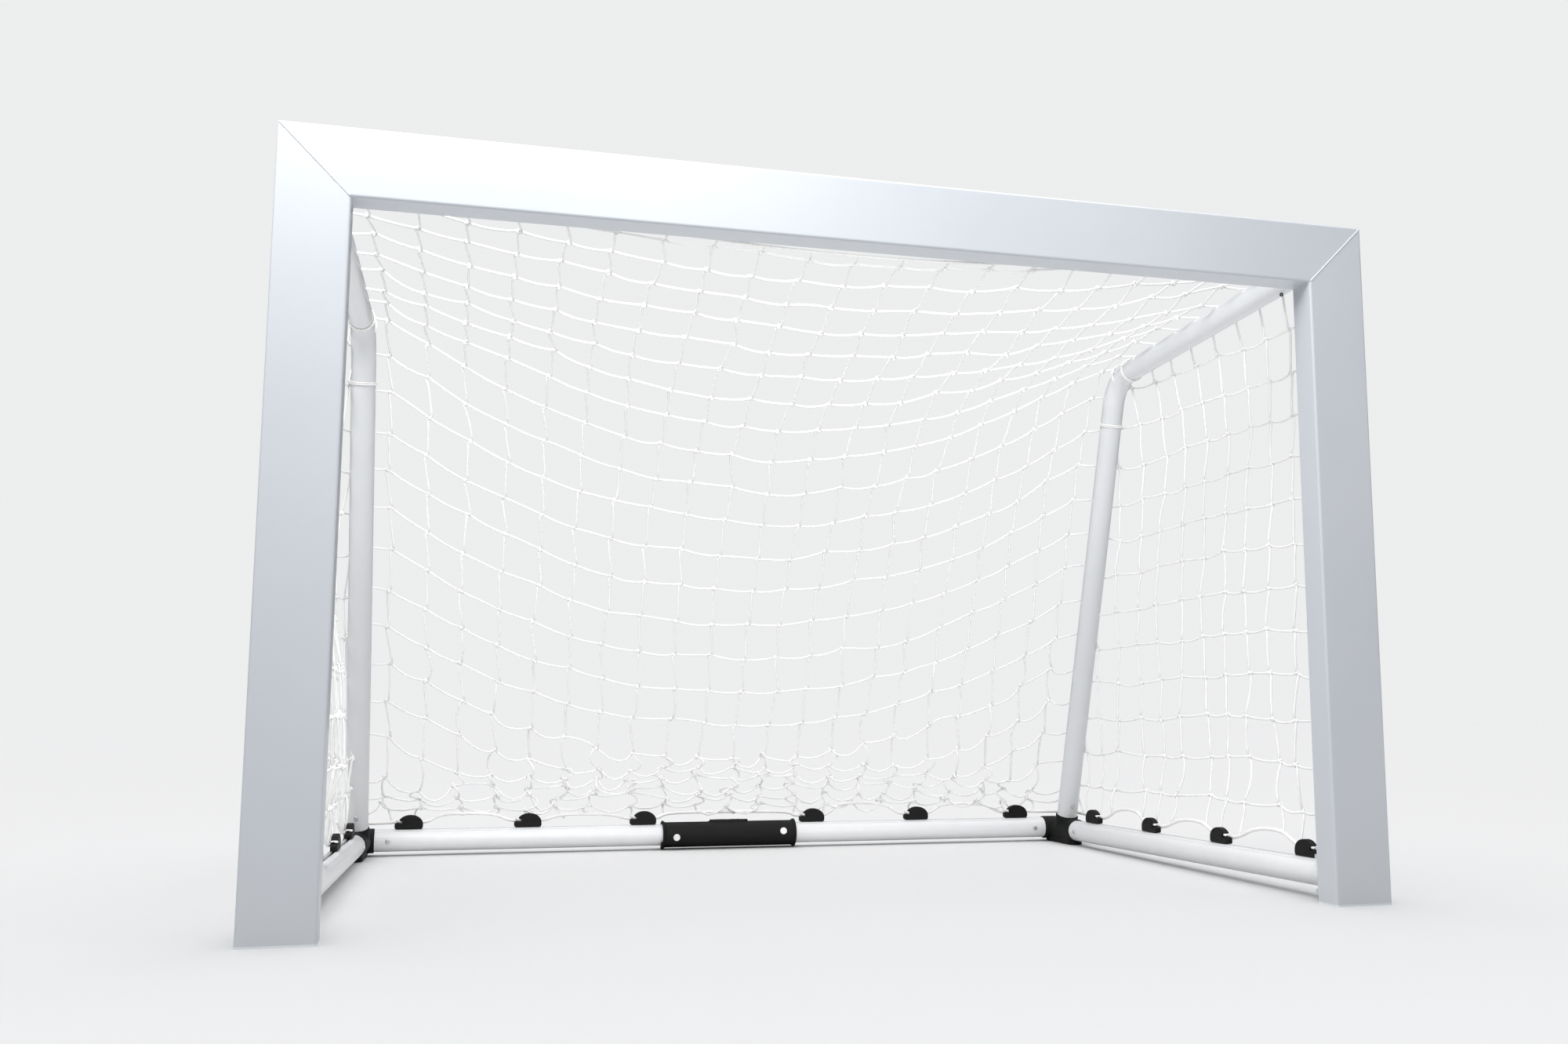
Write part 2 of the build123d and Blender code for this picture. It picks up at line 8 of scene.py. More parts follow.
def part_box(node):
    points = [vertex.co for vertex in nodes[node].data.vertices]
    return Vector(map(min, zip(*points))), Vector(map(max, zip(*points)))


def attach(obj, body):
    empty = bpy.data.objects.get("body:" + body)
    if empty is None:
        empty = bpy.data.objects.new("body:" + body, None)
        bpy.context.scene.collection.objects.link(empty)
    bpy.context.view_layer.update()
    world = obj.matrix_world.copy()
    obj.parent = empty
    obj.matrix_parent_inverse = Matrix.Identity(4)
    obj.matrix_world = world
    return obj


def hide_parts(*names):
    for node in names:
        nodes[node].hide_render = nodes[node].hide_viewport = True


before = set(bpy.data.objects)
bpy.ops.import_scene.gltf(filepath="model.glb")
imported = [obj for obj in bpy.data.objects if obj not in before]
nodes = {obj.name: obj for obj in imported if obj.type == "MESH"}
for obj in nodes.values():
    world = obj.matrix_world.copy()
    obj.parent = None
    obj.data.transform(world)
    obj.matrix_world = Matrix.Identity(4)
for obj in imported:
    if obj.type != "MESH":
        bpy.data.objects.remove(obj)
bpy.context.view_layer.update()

scene = bpy.context.scene
root = "goal_frame"


# ---- Viewpoint, floor and light -------------------------------------------------------------
# The goal stands on a plain pale floor under a soft overhead light, seen from low down and a
# little left of its middle, as a person sitting in front of it would.

camera_data = bpy.data.cameras.new("viewpoint")
camera_data.lens = 31.9
camera_data.sensor_width = 36
camera_data.shift_x = -0.0145
camera_data.clip_end = 100
camera = bpy.data.objects.new("viewpoint", camera_data)
camera.location = (-0.6016, -2.4814, 0.3170)
camera.rotation_euler = (1.69764, -0.00342, -0.25306)
scene.collection.objects.link(camera)
scene.camera = camera
scene.view_settings.view_transform = "Standard"


def new_material(name, colour, roughness):
    """A Principled material and its node tree, with plain colour and roughness set."""
    material = bpy.data.materials.new(name)
    material.use_nodes = True
    shader = material.node_tree.nodes["Principled BSDF"]
    shader.inputs["Base Color"].default_value = (*colour, 1)
    shader.inputs["Roughness"].default_value = roughness
    material.diffuse_color = (*colour, 1)
    return material, material.node_tree, shader


def make_floor():
    reach = 14.0
    mesh = bpy.data.meshes.new("floor")
    corners = [(-reach, -reach, 0), (reach, -reach, 0), (reach, reach, 0), (-reach, reach, 0)]
    mesh.from_pydata(corners, [], [(0, 1, 2, 3)])
    floor = bpy.data.objects.new("floor", mesh)
    scene.collection.objects.link(floor)
    mesh.materials.append(new_material("floor_paint", (0.96, 0.96, 0.965), 0.9)[0])
    return floor


floor = make_floor()

world = bpy.data.worlds.new("studio")
scene.world = world
world.use_nodes = True
sky = world.node_tree
sky.nodes.clear()
sky_place = sky.nodes.new("ShaderNodeTexCoord")
sky_height = sky.nodes.new("ShaderNodeSeparateXYZ")
sky_ramp = sky.nodes.new("ShaderNodeValToRGB")
sky_ramp.color_ramp.elements[0].position = 0.80
sky_ramp.color_ramp.elements[0].color = (0.045, 0.048, 0.052, 1)
sky_ramp.color_ramp.elements[1].position = 0.91
sky_ramp.color_ramp.elements[1].color = (1.0, 1.0, 1.0, 1)
sky_spread = sky.nodes.new("ShaderNodeMapRange")
sky_spread.inputs["From Min"].default_value = -1
sky_light = sky.nodes.new("ShaderNodeBackground")
sky_light.inputs["Strength"].default_value = 1.8
sky_seen = sky.nodes.new("ShaderNodeBackground")
sky_seen.inputs["Color"].default_value = (0.847, 0.851, 0.856, 1)
sky_path = sky.nodes.new("ShaderNodeLightPath")
sky_mix = sky.nodes.new("ShaderNodeMixShader")
sky_out = sky.nodes.new("ShaderNodeOutputWorld")
sky.links.new(sky_place.outputs["Generated"], sky_height.inputs[0])
sky.links.new(sky_height.outputs["Z"], sky_spread.inputs["Value"])
sky.links.new(sky_spread.outputs["Result"], sky_ramp.inputs["Fac"])
sky.links.new(sky_ramp.outputs["Color"], sky_light.inputs["Color"])
sky.links.new(sky_path.outputs["Is Camera Ray"], sky_mix.inputs["Fac"])
sky.links.new(sky_light.outputs[0], sky_mix.inputs[1])
sky.links.new(sky_seen.outputs[0], sky_mix.inputs[2])
sky.links.new(sky_mix.outputs[0], sky_out.inputs["Surface"])


def soft_box(name, place, aim, width, depth, power, misses):
    """A rectangular studio lamp that faces a point on the goal, flagged off what it misses."""
    lamp = bpy.data.lights.new(name, "AREA")
    lamp.shape = "RECTANGLE"
    lamp.size = width
    lamp.size_y = depth
    lamp.energy = power
    box = bpy.data.objects.new(name, lamp)
    box.location = place
    box.rotation_euler = (Vector(aim) - Vector(place)).to_track_quat("-Z", "Y").to_euler()
    scene.collection.objects.link(box)
    unlit = bpy.data.collections.new(f"{name}_misses")
    for piece in misses:
        unlit.objects.link(piece)
    for entry in unlit.collection_objects:
        entry.light_linking.link_state = "EXCLUDE"
    box.light_linking.receiver_collection = unlit


soft_box("front_box", (-0.75, -1.30, 1.95), (-0.15, -0.5, 1.0), 2.2, 0.5, 44, [floor])
frame_names = ("left_post", "right_post", "crossbar", "left_foot_plug", "right_foot_plug")
front_frame = [nodes[name] for name in (*frame_names, "left_stanchion", "right_stanchion")]
soft_box("net_box", (0.2, -2.4, 0.9), (0.0, 0.4, 0.3), 2.4, 0.8, 28, [floor, *front_frame])


# ---- White powder coat ----------------------------------------------------------------------
# The frame and tubes are aluminium with a baked white powder coat: satin, with the fine
# orange-peel skin that the coat flows into, and light handling marks.

def new_group(name, inputs, outputs):
    """A shader node group with number inputs and its named outputs."""
    group = bpy.data.node_groups.new(name, "ShaderNodeTree")
    for label, value in inputs:
        socket = group.interface.new_socket(label, in_out="INPUT", socket_type="NodeSocketFloat")
        socket.default_value = value
    for label in outputs:
        group.interface.new_socket(label, in_out="OUTPUT", socket_type="NodeSocketFloat")
    return group, group.nodes.new("NodeGroupInput"), group.nodes.new("NodeGroupOutput")


def build_skin_group():
    """Flow marks of a coat or a moulding: a fine height, and a slow change over the piece."""
    group, given, result = new_group(
        "surface_skin", [("Grain per metre", 400), ("Patches per metre", 3)], ["Height", "Patches"]
    )
    place = group.nodes.new("ShaderNodeTexCoord")
    fine = group.nodes.new("ShaderNodeTexNoise")
    fine.inputs["Detail"].default_value = 3
    slow = group.nodes.new("ShaderNodeTexNoise")
    slow.inputs["Detail"].default_value = 4
    group.links.new(place.outputs["Object"], fine.inputs["Vector"])
    group.links.new(place.outputs["Object"], slow.inputs["Vector"])
    group.links.new(given.outputs["Grain per metre"], fine.inputs["Scale"])
    group.links.new(given.outputs["Patches per metre"], slow.inputs["Scale"])
    group.links.new(fine.outputs["Fac"], result.inputs["Height"])
    group.links.new(slow.outputs["Fac"], result.inputs["Patches"])
    return group


def build_marks_group():
    """Short scuffs and hairline scratches, as a mask from 0 to 1."""
    group, given, result = new_group("handling_marks", [("Marks per metre", 30), ("Amount", 0.5)], ["Marks"])
    place = group.nodes.new("ShaderNodeTexCoord")
    stretch = group.nodes.new("ShaderNodeMapping")
    stretch.inputs["Scale"].default_value = (0.12, 1.0, 1.7)
    stretch.inputs["Rotation"].default_value = (0.5, 0.9, 0.3)
    noise = group.nodes.new("ShaderNodeTexNoise")
    noise.inputs["Detail"].default_value = 6
    noise.inputs["Roughness"].default_value = 0.7
    cut = group.nodes.new("ShaderNodeMapRange")
    cut.inputs["From Min"].default_value = 0.66
    cut.inputs["From Max"].default_value = 0.74
    gain = group.nodes.new("ShaderNodeMath")
    gain.operation = "MULTIPLY"
    group.links.new(place.outputs["Object"], stretch.inputs["Vector"])
    group.links.new(stretch.outputs["Vector"], noise.inputs["Vector"])
    group.links.new(given.outputs["Marks per metre"], noise.inputs["Scale"])
    group.links.new(noise.outputs["Fac"], cut.inputs["Value"])
    group.links.new(cut.outputs["Result"], gain.inputs[0])
    group.links.new(given.outputs["Amount"], gain.inputs[1])
    group.links.new(gain.outputs[0], result.inputs["Marks"])
    return group


def build_ground_dust_and_shade_group():
    """Dust near the ground and painted shade there, as a mask from 0 high up to 1 at the foot: the darkening
    towards the foot stands in for the light that falls off low down.
    """
    group, given, result = new_group("ground_dust_and_shade", [("Reach", 0.3), ("Amount", 0.3)], ["Dust"])
    place = group.nodes.new("ShaderNodeTexCoord")
    split = group.nodes.new("ShaderNodeSeparateXYZ")
    noise = group.nodes.new("ShaderNodeTexNoise")
    noise.inputs["Scale"].default_value = 45
    noise.inputs["Detail"].default_value = 5
    fall = group.nodes.new("ShaderNodeMapRange")
    fall.inputs["To Min"].default_value = 1
    fall.inputs["To Max"].default_value = 0
    mix = group.nodes.new("ShaderNodeMath")
    mix.operation = "MULTIPLY"
    gain = group.nodes.new("ShaderNodeMath")
    gain.operation = "MULTIPLY"
    group.links.new(place.outputs["Object"], split.inputs[0])
    group.links.new(place.outputs["Object"], noise.inputs["Vector"])
    group.links.new(split.outputs["Z"], fall.inputs["Value"])
    group.links.new(given.outputs["Reach"], fall.inputs["From Max"])
    group.links.new(fall.outputs["Result"], mix.inputs[0])
    group.links.new(noise.outputs["Fac"], mix.inputs[1])
    group.links.new(mix.outputs[0], gain.inputs[0])
    group.links.new(given.outputs["Amount"], gain.inputs[1])
    group.links.new(gain.outputs[0], result.inputs["Dust"])
    return group


skin_group = build_skin_group()
marks_group = build_marks_group()
dust_and_shade_group = build_ground_dust_and_shade_group()


def place_group(tree, group, **values):
    """Puts a node group into a material with its own input values."""
    node = tree.nodes.new("ShaderNodeGroup")
    node.node_tree = group
    for label, value in values.items():
        node.inputs[label.replace("_", " ")].default_value = value
    return node


def tint(tree, below, mask, colour):
    """Mixes a colour over what is below, by a mask, and returns the mix."""
    mix = tree.nodes.new("ShaderNodeMix")
    mix.data_type = "RGBA"
    if isinstance(below, tuple):
        mix.inputs[6].default_value = (*below, 1)
    else:
        tree.links.new(below, mix.inputs[6])
    mix.inputs[7].default_value = (*colour, 1)
    tree.links.new(mask, mix.inputs[0])
    return mix.outputs[2]


def ramp(tree, value, low, high):
    """Spreads a value from the 0.3 to 0.7 of a noise to the range low to high."""
    spread = tree.nodes.new("ShaderNodeMapRange")
    spread.inputs["From Min"].default_value = 0.3
    spread.inputs["From Max"].default_value = 0.7
    spread.inputs["To Min"].default_value = low
    spread.inputs["To Max"].default_value = high
    tree.links.new(value, spread.inputs["Value"])
    return spread.outputs["Result"]


def bump(tree, shader, height, distance, strength=1.0):
    node = tree.nodes.new("ShaderNodeBump")
    node.inputs["Distance"].default_value = distance
    node.inputs["Strength"].default_value = strength
    tree.links.new(height, node.inputs["Height"])
    tree.links.new(node.outputs["Normal"], shader.inputs["Normal"])


def powder_coat(name, colour, shade, roughness):
    """White coat: slow tone change, scuffs that dull it, dust and painted shade near the ground, fine skin.
    """
    material, tree, shader = new_material(name, colour, roughness)
    skin = place_group(tree, skin_group, Grain_per_metre=520.0, Patches_per_metre=2.2)
    marks = place_group(tree, marks_group, Marks_per_metre=26.0, Amount=0.35)
    dust_and_shade = place_group(tree, dust_and_shade_group, Reach=0.16, Amount=0.28)
    tone = tint(tree, colour, ramp(tree, skin.outputs["Patches"], 0.0, 1.0), shade)
    tone = tint(tree, tone, marks.outputs["Marks"], (0.62, 0.63, 0.64))
    # Dust tint near the ground that also paints in the shade falling low on the coat: darker towards the
    # foot.
    tone = tint(tree, tone, dust_and_shade.outputs["Dust"], (0.55, 0.53, 0.49))
    tree.links.new(tone, shader.inputs["Base Color"])
    rough = ramp(tree, skin.outputs["Patches"], roughness - 0.04, roughness + 0.06)
    tree.links.new(rough, shader.inputs["Roughness"])
    shader.inputs["Coat Weight"].default_value = 0.15
    shader.inputs["Coat Roughness"].default_value = 0.2
    bump(tree, shader, skin.outputs["Height"], 0.00012, 0.5)
    return material


def paint(material, *names):
    for name in names:
        mesh = nodes[name].data
        mesh.materials.clear()
        mesh.materials.append(material)


# ---- Front frame ----------------------------------------------------------------------------
# Two posts and a crossbar of rectangular aluminium profile, sawn at 45 degrees and welded at
# the corners, then coated as one piece. The bead is dressed flat but still shows as a line.

frame_coat = powder_coat("frame_coat", (0.53, 0.56, 0.60), (0.57, 0.595, 0.63), 0.34)
paint(frame_coat, "left_post", "right_post", "crossbar")


def tube_mesh(line, radius, sides=8, closed=False):
    """Points and faces of a round tube along a line of points."""
    line = np.asarray(line, float)
    count = len(line)
    radii = np.broadcast_to(np.asarray(radius, float), (count,))
    if closed:
        ahead = np.roll(line, -1, 0) - np.roll(line, 1, 0)
    else:
        ahead = np.gradient(line, axis=0)
    ahead /= np.linalg.norm(ahead, axis=1)[:, None]
    across = np.zeros_like(line)
    across[0] = np.cross(ahead[0], (0, 0, 1) if abs(ahead[0, 2]) < 0.9 else (1, 0, 0))
    across[0] /= np.linalg.norm(across[0])
    for i in range(1, count):
        step = across[i - 1] - ahead[i] * (across[i - 1] @ ahead[i])
        across[i] = step / np.linalg.norm(step)
    other = np.cross(ahead, across)
    angles = np.linspace(0, 2 * np.pi, sides, endpoint=False)[None, :, None]
    ring = np.cos(angles) * across[:, None] + np.sin(angles) * other[:, None]
    points = (line[:, None] + ring * radii[:, None, None]).reshape(-1, 3)
    faces = []
    for i in range(count if closed else count - 1):
        j = (i + 1) % count
        for k in range(sides):
            m = (k + 1) % sides
            faces.append((i * sides + k, i * sides + m, j * sides + m, j * sides + k))
    if not closed:
        faces.append(tuple(range(sides))[::-1])
        faces.append(tuple(range((count - 1) * sides, count * sides)))
    return points, faces


def mesh_object(name, points, faces, material, body=root):
    """A new visible piece from points and faces, riding on a CAD body."""
    mesh = bpy.data.meshes.new(name)
    mesh.from_pydata([tuple(p) for p in points], [], faces)
    mesh.validate()
    mesh.shade_smooth()
    mesh.materials.append(material)
    piece = bpy.data.objects.new(name, mesh)
    scene.collection.objects.link(piece)
    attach(piece, body)
    return piece


def make_weld_beads():
    """A low dressed bead along each mitre, on the front and rear faces."""
    low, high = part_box("crossbar")
    rng = np.random.default_rng(3)
    points, faces = [], []
    drop = high.z - low.z
    for side, x in ((-1, low.x), (1, high.x)):
        for y in (low.y, high.y):
            steps = 90
            along = np.linspace(0.03, 0.985, steps)
            line = np.array([(x - side * drop * a, y, high.z - drop * a) for a in along])
            wobble = 0.00025 * np.sin(np.arange(steps) * 1.9) + rng.normal(0, 0.00012, steps)
            line[:, 2] += wobble
            size = 0.00115 + 0.0002 * np.sin(np.arange(steps) * 2.4 + 1)
            p, f = tube_mesh(line, size)
            faces += [tuple(i + len(points) for i in face) for face in f]
            points += list(p)
    bead = mesh_object("weld_beads", points, faces, frame_coat)


make_weld_beads()


# ---- Post feet ------------------------------------------------------------------------------
# A moulded plug closes each open post end. The fork that takes the side rail is a plate with
# two leaves, welded to the back of the post and coated with it.

def moulding(name, colour, shade, roughness, grain, depth):
    """Moulded plastic: a fine spark-eroded grain, slow sheen change and a few scuffs."""
    material, tree, shader = new_material(name, colour, roughness)
    skin = place_group(tree, skin_group, Grain_per_metre=grain, Patches_per_metre=14.0)
    marks = place_group(tree, marks_group, Marks_per_metre=60.0, Amount=0.25)
    tone = tint(tree, colour, ramp(tree, skin.outputs["Patches"], 0.0, 1.0), shade)
    tone = tint(tree, tone, marks.outputs["Marks"], tuple(min(1, c * 1.6 + 0.01) for c in colour))
    tree.links.new(tone, shader.inputs["Base Color"])
    rough = ramp(tree, skin.outputs["Patches"], roughness - 0.06, roughness + 0.08)
    tree.links.new(rough, shader.inputs["Roughness"])
    shader.inputs["Specular IOR Level"].default_value = 0.2
    bump(tree, shader, skin.outputs["Height"], depth, 0.6)
    return material


plug_plastic = moulding("plug_plastic", (0.74, 0.77, 0.80), (0.70, 0.73, 0.76), 0.5, 900.0, 0.0001)
paint(plug_plastic, "left_foot_plug", "right_foot_plug")
paint(frame_coat, "left_foot_fork", "right_foot_fork", "left_top_bracket", "right_top_bracket")


# ---- Fastenings -----------------------------------------------------------------------------
# Hexagon bolts and nuts in the forks and round-headed screws through the tube walls, zinc
# plated, and two wide white-enamelled heads that hold the centre sleeve.

def plated_steel(name, colour, roughness):
    """Bright zinc over turned steel: fine turning lines and cloudy passivation."""
    material, tree, shader = new_material(name, colour, roughness)
    shader.inputs["Metallic"].default_value = 1.0
    skin = place_group(tree, skin_group, Grain_per_metre=2600.0, Patches_per_metre=160.0)
    tone = tint(tree, colour, ramp(tree, skin.outputs["Patches"], 0.0, 1.0), tuple(c * 0.8 for c in colour))
    tree.links.new(tone, shader.inputs["Base Color"])
    rough = ramp(tree, skin.outputs["Patches"], roughness - 0.08, roughness + 0.12)
    tree.links.new(rough, shader.inputs["Roughness"])
    bump(tree, shader, skin.outputs["Height"], 0.00003, 0.4)
    return material


zinc = plated_steel("zinc_plate", (0.62, 0.63, 0.65), 0.32)
paint(zinc, "fork_bolts", "fork_nuts", "tube_screws")
enamel = powder_coat("ring_enamel", (0.86, 0.87, 0.88), (0.82, 0.83, 0.84), 0.3)
paint(enamel, "sleeve_screws")


# ---- Ground tubes and stanchions ------------------------------------------------------------
# Round aluminium tube with a net groove along the top of the ground tubes, coated the same
# white. The stanchions are one bent tube each, from the top corner down to the rear corner.

tube_coat = powder_coat("tube_coat", (0.75, 0.765, 0.785), (0.79, 0.80, 0.815), 0.3)
paint(
    tube_coat,
    "left_side_rail", "right_side_rail", "left_rear_bar", "right_rear_bar",
    "left_stanchion", "right_stanchion",
)


# ---- Corner elbows and centre sleeve --------------------------------------------------------
# Black nylon mouldings. Each elbow plugs into the rail, the rear bar and the stanchion, and the
# sleeve with flared ends slides over the two halves of the rear bar.

def moulded_copy(node, voxel, passes, material, body=root):
    """A softened piece in place of a CAD node: its shape with the mould's rounded edges."""
    piece = bpy.data.objects.new(f"{node}_moulded", nodes[node].data.copy())
    scene.collection.objects.link(piece)
    remesh = piece.modifiers.new("remesh", "REMESH")
    remesh.mode = "VOXEL"
    remesh.voxel_size = voxel
    soften = piece.modifiers.new("soften", "SMOOTH")
    soften.factor = 0.5
    soften.iterations = passes
    bpy.context.view_layer.update()
    shown = piece.evaluated_get(bpy.context.evaluated_depsgraph_get())
    mesh = bpy.data.meshes.new_from_object(shown)
    piece.modifiers.clear()
    piece.data = mesh
    mesh.shade_smooth()
    mesh.materials.clear()
    mesh.materials.append(material)
    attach(piece, body)
    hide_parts(node)
    return piece


black_nylon = moulding("black_nylon", (0.0035, 0.0035, 0.0038), (0.006, 0.006, 0.0063), 0.6, 1100.0, 0.00015)
for elbow in ("left_corner_elbow", "right_corner_elbow"):
    moulded_copy(elbow, 0.0016, 5, black_nylon)


def roughen_sleeve():
    """The torn gate mark along the sleeve's top and the drag at its lower left lip."""
    sleeve = moulded_copy("centre_sleeve", 0.0014, 3, black_nylon)
    low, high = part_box("centre_sleeve")
    middle_y, middle_z = (low.y + high.y) / 2, high.z - 0.030
    for vertex in sleeve.data.vertices:
        place = vertex.co
        if place.z > middle_z + 0.0255 and abs(place.x) < 0.045 and abs(place.y - middle_y) < 0.010:
            place.z += 0.0016 * (noise.noise(place * 330) + 0.6 * noise.noise(place * 800)) - 0.0006
        drag = max(0.0, 1 - abs(place.x - low.x) / 0.012)
        if drag and place.z < middle_z - 0.012 and place.y < middle_y - 0.008:
            place.x -= 0.0035 * drag
            place.z -= 0.0010 * drag


roughen_sleeve()


# ---- Net hooks ------------------------------------------------------------------------------
# Moulded black hooks with a foot that slides in the tube's groove. A short knotted end of cord
# is caught in each mouth and slides with its hook.

hook_nylon = moulding("hook_nylon", (0.0035, 0.0035, 0.0038), (0.006, 0.006, 0.0063), 0.52, 1300.0, 0.0001)
hook_names = sorted(name for name in nodes if "_hook_" in name)
for name in hook_names:
    moulded_copy(name, 0.0011, 3, hook_nylon, body=name)


# ---- Border ropes ---------------------------------------------------------------------------
# A braided white rope edges the net. Along the ground it lies behind the hooks and arches up
# between them, and thinner ropes go over the stanchions, up the posts and behind the crossbar.

def build_braid_group():
    """Fine crossing strands of a braided cord: a height, and a painted shade for the gaps."""
    group, given, result = new_group("braid", [("Strands per metre", 250)], ["Height", "Gap_shade"])
    place = group.nodes.new("ShaderNodeTexCoord")
    weave = group.nodes.new("ShaderNodeTexVoronoi")
    gaps = group.nodes.new("ShaderNodeMapRange")
    gaps.inputs["From Min"].default_value = 0.35
    gaps.inputs["From Max"].default_value = 0.8
    gaps.inputs["To Max"].default_value = 0.5
    group.links.new(place.outputs["Object"], weave.inputs["Vector"])
    group.links.new(given.outputs["Strands per metre"], weave.inputs["Scale"])
    group.links.new(weave.outputs["Distance"], result.inputs["Height"])
    group.links.new(weave.outputs["Distance"], gaps.inputs["Value"])
    group.links.new(gaps.outputs["Result"], result.inputs["Gap_shade"])
    return group


braid_group = build_braid_group()


def cord_material(name, colour, shade, strands):
    """Matt polypropylene cord, with painted shade in the gaps of its braid."""
    material, tree, shader = new_material(name, colour, 0.75)
    braid = place_group(tree, braid_group, Strands_per_metre=strands)
    skin = place_group(tree, skin_group, Grain_per_metre=3000.0, Patches_per_metre=9.0)
    tone = tint(tree, colour, ramp(tree, skin.outputs["Patches"], 0.0, 1.0), shade)
    # Painted shade: the gaps of the braid are darkened in the colour.
    tone = tint(tree, tone, braid.outputs["Gap_shade"], tuple(c * 0.7 for c in shade))
    tree.links.new(tone, shader.inputs["Base Color"])
    shader.inputs["Sheen Weight"].default_value = 0.3
    bump(tree, shader, braid.outputs["Height"], 0.0004, -0.8)
    return material


rope_cord = cord_material("rope_cord", (0.96, 0.955, 0.935), (0.92, 0.915, 0.895), 650.0)

rear_low, rear_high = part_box("right_rear_bar")
rail_low, rail_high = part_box("right_side_rail")
crossbar_low, crossbar_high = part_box("crossbar")
roof_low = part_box("roof_net")[0]
tube_radius = (rear_high.y - rear_low.y) / 2
bar_y = (rear_low.y + rear_high.y) / 2
bar_z = rear_low.z + tube_radius
rail_start = Vector((rail_high.x - tube_radius, rail_low.y, rail_high.z - tube_radius))
rail_end = Vector((rail_low.x + tube_radius, rail_high.y, rail_low.z + tube_radius))
side_gap = 0.026
net_front_y = crossbar_high.y + 0.012
ground_rope_radius = 0.0034
edge_rope_radius = 0.0022
tie_radius, tie_pitch = 0.0014, 0.0032


def side_x(y):
    """Half distance between the side frames' planes at depth y."""
    slope = (rail_end.x - rail_start.x) / (rail_end.y - rail_start.y)
    return rail_start.x + (y - rail_start.y) * slope


def rail_z(y):
    slope = (rail_end.z - rail_start.z) / (rail_end.y - rail_start.y)
    return rail_start.z + (y - rail_start.y) * slope


def even(line, count):
    """Points evenly spaced along a line, by length."""
    line = np.asarray(line, float)
    gone = np.concatenate([[0], np.cumsum(np.linalg.norm(np.diff(line, axis=0), axis=1))])
    want = np.linspace(0, gone[-1], count)
    return np.stack([np.interp(want, gone, line[:, k]) for k in range(line.shape[1])], 1)


def smooth_line(points, per_run=6):
    """A smooth curve through the given points."""
    points = np.asarray(points, float)
    padded = np.concatenate([points[:1], points, points[-1:]])
    out = []
    for a, b, c, d in zip(padded, padded[1:], padded[2:], padded[3:]):
        for t in np.linspace(0, 1, per_run, endpoint=False):
            bend = (2 * a - 5 * b + 4 * c - d) * t * t + (3 * b - a - 3 * c + d) * t ** 3
            out.append((2 * b + (c - a) * t + bend) / 2)
    out.append(points[-1])
    return np.array(out)


def rounded_corner(start, corner, end, radius, steps=16):
    """A line in the (y, z) plane with its one corner rounded to a radius."""
    start, corner, end = (np.asarray(p, float) for p in (start, corner, end))
    back = (start - corner) / np.linalg.norm(start - corner)
    on = (end - corner) / np.linalg.norm(end - corner)
    half = math.acos(float(back @ on)) / 2
    middle = (back + on) / np.linalg.norm(back + on)
    centre = corner + middle * radius / math.sin(half)
    first = corner + back * radius / math.tan(half) - centre
    last = corner + on * radius / math.tan(half) - centre
    angles = np.linspace(math.atan2(first[1], first[0]), math.atan2(last[1], last[0]), steps)
    arc = centre + radius * np.stack([np.cos(angles), np.sin(angles)], 1)
    return np.concatenate([[start], arc, [end]])


line_points = 401
bend_radius = 0.106
bend = np.array([0.181, 1.000])
stanchion_top = np.array([-0.488, 1.052])
fall = (stanchion_top[1] - bend[1]) / (bend[0] - stanchion_top[0])
over_start = np.array([roof_low.y, stanchion_top[1] + side_gap])
over_bend = np.array([bend[0] + side_gap, over_start[1] - fall * (bend[0] + side_gap - roof_low.y)])
net_foot = np.array([bar_y + 0.018, bar_z + tube_radius + 0.020])
held_line = even(rounded_corner(over_start, over_bend, net_foot, bend_radius), line_points)

rope_points, rope_faces = [], []


def lay(points_out, faces_out, line, radius, sides, closed=False):
    """Adds a cord along a line to the lists of points and faces."""
    points, faces = tube_mesh(line, radius, sides, closed)
    shift = len(points_out)
    points_out.extend(points)
    faces_out.extend(tuple(i + shift for i in face) for face in faces)


def box_centre(name):
    low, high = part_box(name)
    return (low + high) / 2


rear_hook_xs = sorted(box_centre(f"rear_hook_{i}").x for i in range(1, 7))
rail_hook_ys = sorted(box_centre(f"right_rail_hook_{i}").y for i in range(1, 5))


def ground_rope():
    """From the left post round the rear to the right post, rising between the hooks."""
    lift = tube_radius + 0.012
    behind_hook = 0.0105
    local = np.random.default_rng(5)
    halves = {}
    for side in (-1, 1):
        def place(y, out, rise):
            return np.array([side * (side_x(y) + out), y, rail_z(y) + lift + rise])

        line = [place(net_front_y, 0.022, 0.030)]
        for i, y in enumerate(rail_hook_ys):
            line += [place(y - 0.03, behind_hook, 0.001), place(y + 0.03, behind_hook, 0.001)]
            if i < 3:
                middle = (y + rail_hook_ys[i + 1]) / 2
                rise = local.uniform(0.018, 0.030)
                line += [place(middle - 0.035, 0.014, rise), place(middle + 0.035, 0.014, rise * 0.92)]
        line += [place(bar_y - 0.090, 0.031, 0.0), place(bar_y - 0.035, 0.031, 0.001)]
        line.append(np.array([side * 0.768, bar_y + 0.005, bar_z + lift]))
        line.append(np.array([side * 0.718, bar_y + 0.012, bar_z + lift]))
        halves[side] = line
    rear = []
    for i, x in enumerate(rear_hook_xs):
        for step in (-0.03, 0.03):
            rear.append(np.array([x + step, bar_y + behind_hook, bar_z + lift + 0.001]))
        if i < 5:
            middle = (x + rear_hook_xs[i + 1]) / 2
            rise = local.uniform(0.010, 0.024)
            wide = (rear_hook_xs[i + 1] - x) / 2 - 0.075
            rear.append(np.array([middle - wide, bar_y + 0.013, bar_z + lift + rise]))
            rear.append(np.array([middle + wide, bar_y + 0.013, bar_z + lift + rise * 0.9]))
    return smooth_line(halves[-1] + rear + halves[1][::-1])


ground_line = ground_rope()
lay(rope_points, rope_faces, ground_line, ground_rope_radius, 10)
rear_run = ground_line[ground_line[:, 1] > bar_y - 0.001]


